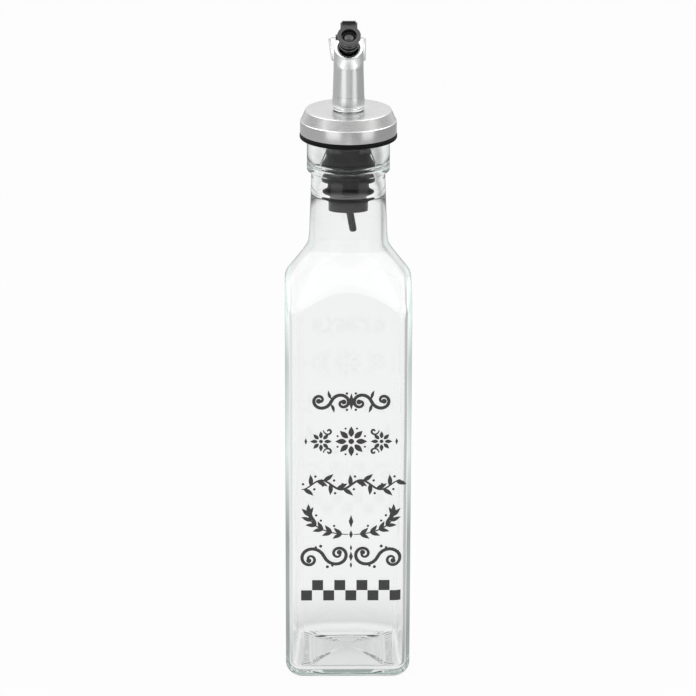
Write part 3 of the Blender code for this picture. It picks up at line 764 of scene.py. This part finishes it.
ornament = {
    "middle": 1.06,  # how far right of the bottle's axis the print is centred
    "flatten": 0.06,
    "proud": 0.03,
    "stroke": (0.65, 1.35),
    "eye": 1.0125,
    "swell": 0.8,
    "curlSteps": 22,  # to the turn
    "curlClosing": 7.0,  # how many times smaller a curl is at its eye
    "leastWidth": 0.08,
    "leafShape": 0.8,  # below 1, a leaf is widest nearer its root
    "square": 4.3,
    "squareGap": 0.05,
    "squareDepth": 0.05,
    "squareCuts": 7,
    "squareColumns": 9,
    "squareRows": (36.1, 40.4),
    "scrolls": {
        "height": 116.1, "apart": 7.7, "reach": 4.4, "turns": 1.35, "tilt": 82,
        "leafRoot": 1.1, "leafTilt": 18, "leaf": 3.6, "width": 1.2,
        "dotPlace": (1.7, 3.3), "dot": 0.5, "diamond": (3.3, 2.2),
    },
    "rosettes": {
        "height": 99.9, "apart": 11.6, "radius": 6.1, "smaller": 0.68, "petals": 8,
        "petal": (0.3, 0.7, 0.36),  # its root, length and width, and a dot's place and radius, in radii
        "dot": (0.93, 0.07), "heart": 0.18,
        "curlPlace": (0.92, 0.75), "curlReach": 0.34, "curlTurns": 1.1, "curlTilt": 10,
        "stem": (0.4, 0.85), "diamond": (1.3, 1.1), "diamondPlace": 0.95,
    },
    "garland": {
        "height": 82.1, "half": 19.0, "wave": 1.9, "waves": 2.5, "stem": (0.4, 0.9),
        "leaf": 4.6, "width": 1.75, "leafTilt": 52, "leafBend": 0.22,
        "leaves": 15, "firstLeaf": 0.3, "lookAhead": 0.01,
        "berry": 0.5, "berryStalk": 2.1, "berryTilt": 80,
    },
    "laurel": {
        "height": 61.6, "half": 15.4, "rise": 8.4, "gap": 1.0,
        "stem": (0.3, 0.55), "leaf": 4.2, "width": 1.6, "leafTilt": 34, "leafBend": 0.2,
        "pairs": 6, "firstPair": 0.6, "lookAhead": 0.04,
        "berry": 0.48, "berryStalk": 2.9,
        "diamonds": ((0, (1.7, 1.5)), (5.4, (2.6, 1.8))),
    },
    "longScrolls": {
        "height": 52.4, "apart": 10.4, "reach": 5.5, "turns": 1.6, "tilt": 102,
        "diamonds": (
            (-3.6, (1.2, 0.96)), (0, (2.0, 1.6)), (3.6, (1.2, 0.96)),
        ),
        "dots": (  # out, up and radius
            (1.3, 4.3, 0.62), (3.2, 3.8, 0.50), (5.1, 3.3, 0.38),
        ),
    },
}
bothSides = (-1, 1)


def along(angle, length):
    return Vector((length * math.cos(angle), length * math.sin(angle)))


def headingOf(step):
    return math.atan2(step.y, step.x)


def curl(start, towards, reach, turns, hand):
    # a coil that leaves start and closes on its eye, which lies towards the given angle
    shrink = math.log(ornament["curlClosing"]) / (turns * fullTurn)
    points = []
    for share in shares(int(turns * ornament["curlSteps"])):
        turn = share * turns * fullTurn
        radius = reach * math.exp(-shrink * turn)
        points.append(start + along(towards, reach) + along(towards + math.pi + hand * turn, radius))
    return points


def stroke(points, least, most):
    # it swells in the middle, as a broad pen's does
    swell = [math.sin(math.pi * share) ** ornament["swell"] for share in shares(len(points) - 1)]
    return points, [between(least, most, share) for share in swell]


def dot(place, radius):
    across = [-1, -0.92, -0.7, -0.35, 0, 0.35, 0.7, 0.92, 1]
    points = [place + Vector((radius * share, 0)) for share in across]
    return points, [2 * radius * math.sqrt(1 - share**2) for share in across]


def diamond(place, half, width):
    return [place - Vector((0, half)), place, place + Vector((0, half))], [0, width, 0]


def leaf(root, angle, length, width, bend=0.25):
    # it leaves its root at the given angle and bends a little
    points = []
    for share in shares(10):
        sideways = along(angle + quarterTurn, bend * length * share * (1 - share))
        points.append(root + along(angle, length * share) + sideways)
    return points, [width * math.sin(math.pi * share ** ornament["leafShape"]) for share in shares(10)]


def scroll(centre, row, side, hand):
    # two curls that run into each other, with a dot in each eye
    half = curl(Vector((0, 0)), math.radians(90 - side * row["tilt"]), row["reach"], row["turns"], hand)
    points = [centre + point for point in reversed(half)] + [centre - point for point in half[1:]]
    yield stroke(points, *ornament["stroke"])
    yield dot(points[0], ornament["eye"])
    yield dot(points[-1], ornament["eye"])


def scrollRow():
    s = ornament["scrolls"]
    middle = Vector((0, s["height"]))
    yield diamond(middle, *s["diamond"])
    out, up = s["dotPlace"]
    for side in bothSides:
        centre = Vector((side * s["apart"], s["height"]))
        yield from scroll(centre, s, side, side)
        for lift in bothSides:
            angle = lift * math.radians(90 - side * lift * s["leafTilt"])
            yield leaf(centre + Vector((0, lift * s["leafRoot"])), angle, s["leaf"], s["width"])
            yield dot(middle + Vector((side * out, lift * up)), s["dot"])


def rosetteRow():
    r = ornament["rosettes"]
    for place, size in ((-1, r["smaller"]), (0, 1.0), (1, r["smaller"])):
        middle = Vector((place * r["apart"], r["height"]))
        radius = r["radius"] * size
        root, length, width, dotPlace, dotRadius = (radius * share for share in r["petal"] + r["dot"])
        for number in range(r["petals"]):
            angle = number * fullTurn / r["petals"] + quarterTurn
            yield leaf(middle + along(angle, root), angle, length, width, bend=0)
            if not place:
                yield dot(middle + along(angle + math.pi / r["petals"], dotPlace), dotRadius)
        yield dot(middle, r["heart"] * radius)
    out, up = r["curlPlace"]
    for side in bothSides:
        for lift in bothSides:
            start = Vector((side * out * r["apart"], r["height"] + lift * up * r["radius"]))
            towards = math.radians(90 + side * 90 + side * lift * r["curlTilt"])
            points = curl(start, towards, r["curlReach"] * r["radius"], r["curlTurns"], -side * lift)
            yield stroke(points, *r["stem"])
        across = r["apart"] + r["radius"] * r["diamondPlace"]
        yield diamond(Vector((side * across, r["height"])), *r["diamond"])


def stemPoint(share):
    g = ornament["garland"]
    across = 2 * share - 1
    return Vector((across * g["half"], g["height"] + g["wave"] * math.sin(math.pi * g["waves"] * across)))


def garlandRow():
    g = ornament["garland"]
    yield stroke([stemPoint(share) for share in shares(90)], *g["stem"])
    for number in range(g["leaves"]):
        share = (number + g["firstLeaf"]) / g["leaves"]
        root = stemPoint(share)
        heading = headingOf(stemPoint(share + g["lookAhead"]) - root)
        hand = 1 if number % 2 else -1
        angle = heading + hand * math.radians(g["leafTilt"])
        yield leaf(root, angle, g["leaf"], g["width"], bend=-g["leafBend"] * hand)
        angle = heading - hand * math.radians(g["berryTilt"])
        yield dot(root + along(angle, g["berryStalk"]), g["berry"])


def branchPoint(side, share):
    g = ornament["laurel"]
    turn = share * quarterTurn
    across = g["gap"] + g["half"] * math.sin(turn)
    return Vector((side * across, g["height"] + g["rise"] * (1 - math.cos(turn))))


def laurelRow():
    g = ornament["laurel"]
    for side in bothSides:
        yield stroke([branchPoint(side, share) for share in shares(30)], *g["stem"])
        for number in range(g["pairs"]):
            share = (number + g["firstPair"]) / g["pairs"]
            root = branchPoint(side, share)
            heading = headingOf(branchPoint(side, min(share + g["lookAhead"], 1)) - root)
            for hand in bothSides:
                angle = heading + hand * math.radians(g["leafTilt"])
                yield leaf(root, angle, g["leaf"], g["width"], bend=-g["leafBend"] * hand)
            if number % 2:
                yield dot(root + along(heading + side * quarterTurn, g["berryStalk"]), g["berry"])
        yield leaf(branchPoint(side, 1), quarterTurn, g["leaf"], g["width"], bend=0)
    for lift, size in g["diamonds"]:
        yield diamond(Vector((0, g["height"] + lift)), *size)


def longScrollRow():
    s = ornament["longScrolls"]
    for lift, size in s["diamonds"]:
        yield diamond(Vector((0, s["height"] + lift)), *size)
    for side in bothSides:
        centre = Vector((side * s["apart"], s["height"]))
        yield from scroll(centre, s, side, -side)
        for lift in bothSides:
            for out, up, radius in s["dots"]:
                yield dot(centre + Vector((side * lift * out, lift * up)), radius)


def wrapRound(obj):
    # the ends of the rows follow the rounded corners of the body
    corner = bottle["cornerRadius"]
    straight = bottle["halfWidth"] - corner
    for vert in obj.data.vertices:
        over = min(max(abs(vert.co.x) - straight, 0), corner)
        vert.co.y += corner - math.sqrt(corner**2 - over**2)


def makePrint():
    # strokes are laid out flat as one curve, turned into a mesh, pressed thin and stood up against the glass
    o = ornament
    bpy.ops.curve.primitive_nurbs_path_add()
    drawn = named("printedOrnament")
    drawn.data.splines.clear()
    for points, widths in [*scrollRow(), *rosetteRow(), *garlandRow(), *laurelRow(), *longScrollRow()]:
        spline = drawn.data.splines.new("POLY")
        spline.points.add(len(points) - 1)
        for knot, point, width in zip(spline.points, points, widths):
            knot.co = (point.x, point.y, 0, 1)
            knot.radius = max(width, o["leastWidth"]) / 2
    drawn = thicken(drawn, 1.0, 2)  # each point has a radius of its own
    drawn.scale = (1, 1, o["flatten"])
    applyPlace(drawn)
    half = (o["square"] - o["squareGap"]) / 2
    depth = o["squareDepth"] / 2
    squares = []
    for rowNumber, height in enumerate(o["squareRows"]):
        for column in range(rowNumber, o["squareColumns"], 2):
            across = (column - (o["squareColumns"] - 1) / 2) * o["square"]
            low = (across - half, height - half, -depth)
            squares.append(boxBetween("square", low, (across + half, height + half, depth)))
            startEdit(squares[-1])
            bpy.ops.mesh.subdivide(number_cuts=o["squareCuts"])
            endEdit()
    obj = joined("printedOrnament", [drawn] + squares)
    obj.scale = (mm, mm, mm)
    obj.rotation_euler = (quarterTurn, 0, 0)
    obj.location = (o["middle"] * mm, -bottle["halfWidth"] - o["proud"] * mm, 0)
    applyPlace(obj)
    wrapRound(obj)
    cleanUp(obj, threshold=0.001 * mm)
    finish(obj, "printedInk", "bottle", "printed_ink")


makePrint()
print("stage: print")


gasket = frameSizes("sealing_gasket") | {"hole": 6.3 * mm, "edgeRound": 0.45 * mm}


def makeGasket():
    g = gasket
    profile = stairs((g["hole"], g["top"]), (g["radius"], g["bottom"]))
    obj = lathe("sealingGasket", profile + [(g["hole"], g["bottom"])], steps=128)
    roundEdges(obj, g["edgeRound"], segments=4)
    finish(obj, "blackRubber", "seal", "black_rubber", "sealing_gasket")


cap = frameSizes("dome_cap") | {
    "bandHeight": 4.9 * mm,
    "slopeRun": 1.95 * mm,
    "ridgeStep": 0.35 * mm,
    "hole": 5.65 * mm,
    "wall": 1.1 * mm,
    "edgeRound": 0.14 * mm,
}


def makeCap():
    # the stamped cap: flat top, sloping shoulder, ridge, upright band, and the hollow underneath
    c = cap
    ridge = c["bottom"] + c["bandHeight"]
    topRadius = c["radius"] - c["slopeRun"]
    inner = c["radius"] - c["wall"]
    ceiling = c["top"] - c["wall"]
    slopeFoot = (c["radius"] - c["ridgeStep"], ridge)
    profile = [(c["hole"], c["top"]), (topRadius, c["top"])]
    profile += stairs(slopeFoot, (c["radius"], c["bottom"]), (inner, ridge - c["wall"]))
    profile += [(topRadius - c["wall"], ceiling), (c["hole"], ceiling)]
    obj = lathe("domeCap", profile, steps=160)
    roundEdges(obj, c["edgeRound"], segments=5, angle=18)
    finish(obj, "satinSteel", "pourer", "satin_steel", "dome_cap")


collar = frameSizes("spout_collar") | {
    "hole": 5.45 * mm,
    "beadHeight": 1.35 * mm,
    "beadInset": 0.2 * mm,
    "grooveDepth": 0.4 * mm,
    "grooveWidth": 0.3 * mm,
    "topRadius": 5.96 * mm,
}


def makeCollar():
    # a cone that closes softly on the tube, with a groove and a bead at its foot
    c = collar
    bead = c["radius"] - c["beadInset"]
    inner = bead - c["grooveDepth"]
    groove = c["bottom"] + c["beadHeight"]
    width = c["grooveWidth"]
    profile = [(c["hole"], c["top"]), (c["topRadius"], c["top"]), (c["radius"], groove + 2 * width)]
    profile.append((c["radius"] - c["beadInset"] / 2, groove + width))
    profile += [(inner, groove + width / 2), (inner, groove)]
    for sine, cosine in swing(8, -math.pi, quarterTurn):  # the bead is round in section
        height = c["bottom"] + c["beadHeight"] / 2 * (1 + sine)
        profile.append((inner + c["grooveDepth"] * cosine, height))
    profile.append((c["hole"], c["bottom"]))
    obj = lathe("spoutCollar", profile)
    finish(obj, "tubeSteel", "pourer", "brushed_spout_steel", "spout_collar")


spout = frameSizes("spout_tube") | {
    "shoulder": 230.8 * mm,
    "elbow": 243.57 * mm,
    "shankRadius": 5.35 * mm,
    "tubeRadius": 5.65 * mm,
    "bore": 4.3 * mm,
    "tilt": 40.0,
    "noseLength": 8.44 * mm,
    "lipRadius": 5.35 * mm,
    "mouthRadius": 3.6 * mm,
    "lipRound": 0.5 * mm,
    "straight": 3.0 * mm,  # the plain stretch on each side of the mitre
    "sunk": 0.25 * mm,  # how far the tube's wide part goes down into the collar
    "cutSpare": 5.0 * mm,
    "wireHole": 0.7 * mm,
    "edgeRound": 0.03 * mm,
}
tilt = math.radians(spout["tilt"])
mouthDirection = Vector((0, -math.sin(tilt), math.cos(tilt)))
mouthRear = Vector((0, math.cos(tilt), math.sin(tilt)))
elbowCentre = Vector((0, 0, spout["elbow"]))
mouthCentre = elbowCentre + mouthDirection * spout["noseLength"]
mitreNormal = (Vector((0, 0, 1)) + mouthDirection).normalized()


def toMouth(obj, origin):
    # from a frame whose Z is the mouth's axis to the model's own frame
    obj.rotation_euler = (tilt, 0, 0)
    obj.location = origin
    applyPlace(obj)


def sawOff(obj, keepBelow):
    startEdit(obj)
    cuts = {"clear_outer": keepBelow, "clear_inner": not keepBelow}
    bpy.ops.mesh.bisect(plane_co=elbowCentre, plane_no=mitreNormal, **cuts)
    endEdit()


def makeSpout():
    # an upright tube and a nose, both sawn off at the mitre and joined there
    s = spout
    foot = s["shoulder"] - s["sunk"]
    sawTop = s["elbow"] + s["cutSpare"]
    profile = stairs(
        (s["bore"], s["bottom"]), (s["shankRadius"], foot), (s["radius"] - s["edgeRound"], s["shoulder"])
    )
    profile += [(s["tubeRadius"], s["elbow"] - s["straight"]), (s["tubeRadius"], sawTop), (s["bore"], sawTop)]
    upright = lathe("spoutTube", profile)
    sawOff(upright, keepBelow=True)
    lipCentre = s["noseLength"] - s["lipRound"]
    halfLip = (s["lipRadius"] - s["mouthRadius"]) / 2
    profile = stairs((s["bore"], -s["cutSpare"]), (s["tubeRadius"], s["straight"]))
    for sine, cosine in swing(12, math.pi):
        profile.append((s["lipRadius"] - halfLip * (1 - cosine), lipCentre + s["lipRound"] * sine))
    profile += [(s["mouthRadius"], lipCentre - s["lipRound"]), (s["bore"], lipCentre - 2 * s["lipRound"])]
    nose = lathe("spoutNose", profile)
    toMouth(nose, elbowCentre)
    sawOff(nose, keepBelow=False)
    obj = joined("spoutTube", [upright, nose])
    cleanUp(obj, threshold=0.01 * mm)
    cut(obj, rod("wireHole", s["wireHole"], 4 * s["tubeRadius"], elbowCentre, across=True))
    finish(obj, "tubeSteel", "pourer", "brushed_spout_steel", "spout_tube")


plug = {
    "stemRadius": 3.0 * mm,
    "tipRadius": 2.6 * mm,
    "stemDepth": 2.0 * mm,
    "collarRadius": 3.7 * mm,
    "collars": ((4.2 * mm, 5.1 * mm), (2.1 * mm, 3.0 * mm)),  # from and to, the upper one first
    "neckTo": 5.7 * mm,
    "headFootRadius": 3.9 * mm,
    "headBottom": 6.9 * mm,
    "headTop": 7.8 * mm,
    "headRadius": 4.43 * mm,
    "dimpleRadius": 2.9 * mm,
    "dimpleDepth": 2.1 * mm,
    "dimpleCrown": 1.3 * mm,  # how far its floor rises to the middle
    "crownShares": ((0, 1), (0.3, 0.93), (0.6, 0.68), (0.82, 0.3), (0.95, 0)),  # out and up
    "tabHalf": 3.15 * mm,
    "tabFront": 3.1 * mm,
    "tabRear": 6.05 * mm,
    "lipHalf": 2.55 * mm,
    "lipHeight": 1.0 * mm,
    "lipThickness": 0.65 * mm,
    "armHalf": 3.05 * mm,
    "armThickness": 1.1 * mm,
    "armFoot": 0.88 * mm,
    "armClear": 0.55 * mm,  # from the spout's lip, at armBend
    "armBend": 0.25 * mm,
    "hingeBehind": 6.9 * mm,
    "hingeBelow": 2.9 * mm,
    "barrelRadius": 1.1 * mm,
    "barrelLeft": -4.9 * mm,
    "barrelRight": 4.1 * mm,
    "pinHole": 0.7 * mm,
    "pinCut": 12.0 * mm,
    "voxel": 0.12 * mm,
    "smoothing": 4,
}
hingeCentre = mouthCentre + mouthRear * plug["hingeBehind"] - mouthDirection * plug["hingeBelow"]


def makePlug():
    # modelled upright over the mouth, as overlapping solids that a fine remesh melts into one moulding
    p = plug
    dimpleFloor = p["headTop"] - p["dimpleDepth"]
    profile = [(out * p["dimpleRadius"], dimpleFloor + up * p["dimpleCrown"]) for out, up in p["crownShares"]]
    treads = [(p["headRadius"], p["headBottom"]), (p["headFootRadius"], p["neckTo"])]
    for foot, top in p["collars"]:
        treads += [(p["stemRadius"], top), (p["collarRadius"], foot)]
    profile += stairs((p["dimpleRadius"], p["headTop"]), *treads, (p["stemRadius"], 0))
    profile += [(p["tipRadius"], -p["stemDepth"]), (0, -p["stemDepth"])]
    head = lathe("flipPlug", profile, closed=False)
    middle = (p["headBottom"] + p["headTop"]) / 2
    low = (-p["tabHalf"], p["tabFront"], p["headBottom"])
    tab = boxBetween("tab", low, (p["tabHalf"], p["tabRear"], p["headTop"]))
    low = (-p["lipHalf"], p["tabRear"] - p["lipThickness"], middle)
    lip = boxBetween("tabLip", low, (p["lipHalf"], p["tabRear"], p["headTop"] + p["lipHeight"]))
    hinge, foot = p["hingeBehind"], -p["hingeBelow"]
    side = [
        (p["tabRear"] - p["armThickness"], middle), (p["tabRear"], middle), (hinge + p["armFoot"], foot),
        (hinge - p["armFoot"], foot), (spout["lipRadius"] + p["armClear"], p["armBend"]),
    ]
    bpy.ops.mesh.primitive_circle_add(vertices=len(side), fill_type="NGON")
    arm = named("arm")
    for vert, (rear, height) in zip(arm.data.vertices, side):
        vert.co = (-p["armHalf"], rear, height)
    startEdit(arm)
    bpy.ops.mesh.extrude_region_move(TRANSFORM_OT_translate={"value": (2 * p["armHalf"], 0, 0)})
    endEdit()
    cleanUp(arm)
    centre = ((p["barrelLeft"] + p["barrelRight"]) / 2, hinge, foot)
    length = p["barrelRight"] - p["barrelLeft"]
    barrel = rod("barrel", p["barrelRadius"], length, centre, across=True, sides=64)
    applyPlace(barrel)
    obj = joined("flipPlug", [head, tab, lip, arm, barrel])
    melt = obj.modifiers.new("melt", "REMESH")
    melt.mode = "VOXEL"
    melt.voxel_size = p["voxel"]
    soften = obj.modifiers.new("soften", "SMOOTH")
    soften.iterations = p["smoothing"]
    applyAll(obj)
    cut(obj, rod("pinHole", p["pinHole"], p["pinCut"], centre, across=True, sides=48))
    toMouth(obj, mouthCentre)
    finish(obj, "blackPlastic", "flap", "black_plastic", "flip_plug", smoothTo=50)


wire = {
    "radius": 0.4 * mm,
    "bendRadius": 0.8 * mm,
    "legOffset": 6.12 * mm,
    "endOffset": 4.7 * mm,
    "leftBulge": 1.2 * mm,
    "bendSteps": 6,
}


def roundedRoute(corners, radius, steps):
    # the corners of a bent wire with an arc in place of each inner one
    route = [corners[0]]
    for before, corner, after in zip(corners, corners[1:], corners[2:]):
        back = (before - corner).normalized()
        ahead = (after - corner).normalized()
        half = back.angle(ahead) / 2
        centre = corner + (back + ahead).normalized() * (radius / math.sin(half))
        first = corner + back * (radius / math.tan(half)) - centre
        last = corner + ahead * (radius / math.tan(half)) - centre
        for share in shares(steps):
            route.append(centre + first.slerp(last, share) * radius)
    route.append(corners[-1])
    return route


def makeWire():
    # the bail: its ends sit in the spout's sides, and its top is the plug's hinge pin
    w = wire
    leg, end, bulge = (Vector((w[name], 0, 0)) for name in ("legOffset", "endOffset", "leftBulge"))
    corners = [elbowCentre + end, elbowCentre + leg, hingeCentre + leg]
    corners += [hingeCentre - leg - bulge, elbowCentre - leg, elbowCentre - end]
    obj = drawChain("hingeWire", roundedRoute(corners, w["bendRadius"], w["bendSteps"]))
    endEdit()
    pick(obj)
    bpy.ops.object.convert(target="CURVE")
    obj = thicken(bpy.context.object, w["radius"], 4)
    cleanUp(obj)
    finish(obj, "wireSteel", "pourer", "steel_wire", "hinge_wire", smoothTo=50)


sleeve = frameSizes("finned_sleeve") | {
    "shortened": 1.8 * mm,
    "bore": 6.3 * mm,
    "waist": 7.8 * mm,
    "collarRadius": 8.8 * mm,
    "collarHeight": 4.7 * mm,
    "fins": (  # top height, thickness and radius of each
        (206.3 * mm, 3.2 * mm, 9.85 * mm),
        (199.2 * mm, 1.39 * mm, 10.1 * mm),
        (193.5 * mm, 1.11 * mm, 9.7 * mm),
    ),
    "finSlope": 1.1 * mm,
    "edgeRound": 0.22 * mm,
}


def makeSleeve():
    s = sleeve
    bottom = s["bottom"] + s["shortened"]
    profile = stairs((s["bore"], s["top"]), (s["collarRadius"], s["top"] - s["collarHeight"]))
    for top, thickness, radius in s["fins"]:
        foot = top - thickness
        profile += [(s["waist"], top + s["finSlope"]), (radius, top), (radius, foot)]
        profile.append((s["waist"], foot - s["finSlope"] / 2))
    profile += [(s["waist"], bottom), (s["bore"], bottom)]
    obj = lathe("finnedSleeve", profile, steps=112)
    roundEdges(obj, s["edgeRound"], angle=20)
    finish(obj, "blackRubber", "pourer", "black_rubber", "finned_sleeve")


core = frameSizes("stopper_core") | {
    "shortened": 1.3 * mm,
    "tubeRadius": 6.0 * mm,
    "bore": 4.3 * mm,
    "footRadius": 7.25 * mm,
    "footHeight": 4.4 * mm,
    "web": 2.0 * mm,
    "flange": 1.8 * mm,
    "socket": 5.65 * mm,
    "bossRadius": 8.05 * mm,
    "edgeRound": 0.25 * mm,
    "pourHole": 1.1 * mm,
    "pourAngles": (105, 180, 255),
    "ventHole": 1.65 * mm,
}
vent = {
    "radius": 1.35 * mm,
    "bore": 0.7 * mm,
    "above": 9.2 * mm,
    "below": 10.7 * mm,
    "tipRound": 1.1 * mm,
    "tipBore": 0.5 * mm,
    "offset": 0.4 * mm,
    "lean": 8.5,
}
coreBottom = core["bottom"] + core["shortened"]
webMiddle = coreBottom + core["web"] / 2


def toVent(obj):
    # from a frame whose origin is in the middle of the core's floor and whose Z is the leaning tube
    obj.rotation_euler = (0, -math.radians(vent["lean"]), 0)
    obj.location = (vent["offset"], 0, webMiddle)
    applyPlace(obj)


def makeCore():
    c = core
    flangeTop = cap["bottom"] + c["flange"]
    profile = stairs(
        (c["socket"], c["top"]), (c["bossRadius"], flangeTop), (c["radius"], cap["bottom"]),
        (c["tubeRadius"], coreBottom + c["footHeight"]), (c["footRadius"], coreBottom),
        (0, coreBottom + c["web"]), (c["bore"], flangeTop),
    )
    obj = lathe("stopperCore", profile + [(c["socket"], flangeTop)])
    roundEdges(obj, c["edgeRound"])
    for angle in c["pourAngles"]:
        place = along(math.radians(angle), c["bore"] - c["pourHole"])
        cut(obj, rod("pourHole", c["pourHole"], 2 * c["web"], (*place, webMiddle)))
    hole = rod("ventHole", c["ventHole"], 2 * c["web"])
    toVent(hole)
    cut(obj, hole)
    cleanUp(obj, threshold=0.02 * mm)
    finish(obj, "blackPlastic", "pourer", "black_plastic", "stopper_core")


def makeVent():
    v = vent
    profile = [(v["bore"], v["above"]), (v["radius"], v["above"])]
    for sine, cosine in swing(8):
        profile.append((between(v["tipBore"], v["radius"], cosine), v["tipRound"] * (1 - sine) - v["below"]))
    profile.append((v["bore"], v["tipRound"] - v["below"]))
    obj = lathe("ventTube", profile, steps=48)
    toVent(obj)
    finish(obj, "blackPlastic", "pourer", "black_plastic", "vent_tube")


makeGasket()
makeCap()
makeCollar()
makeSpout()
print("stage: steel pieces")
makePlug()
makeWire()
makeSleeve()
makeCore()
makeVent()
print("stage: plug, wire and stopper")
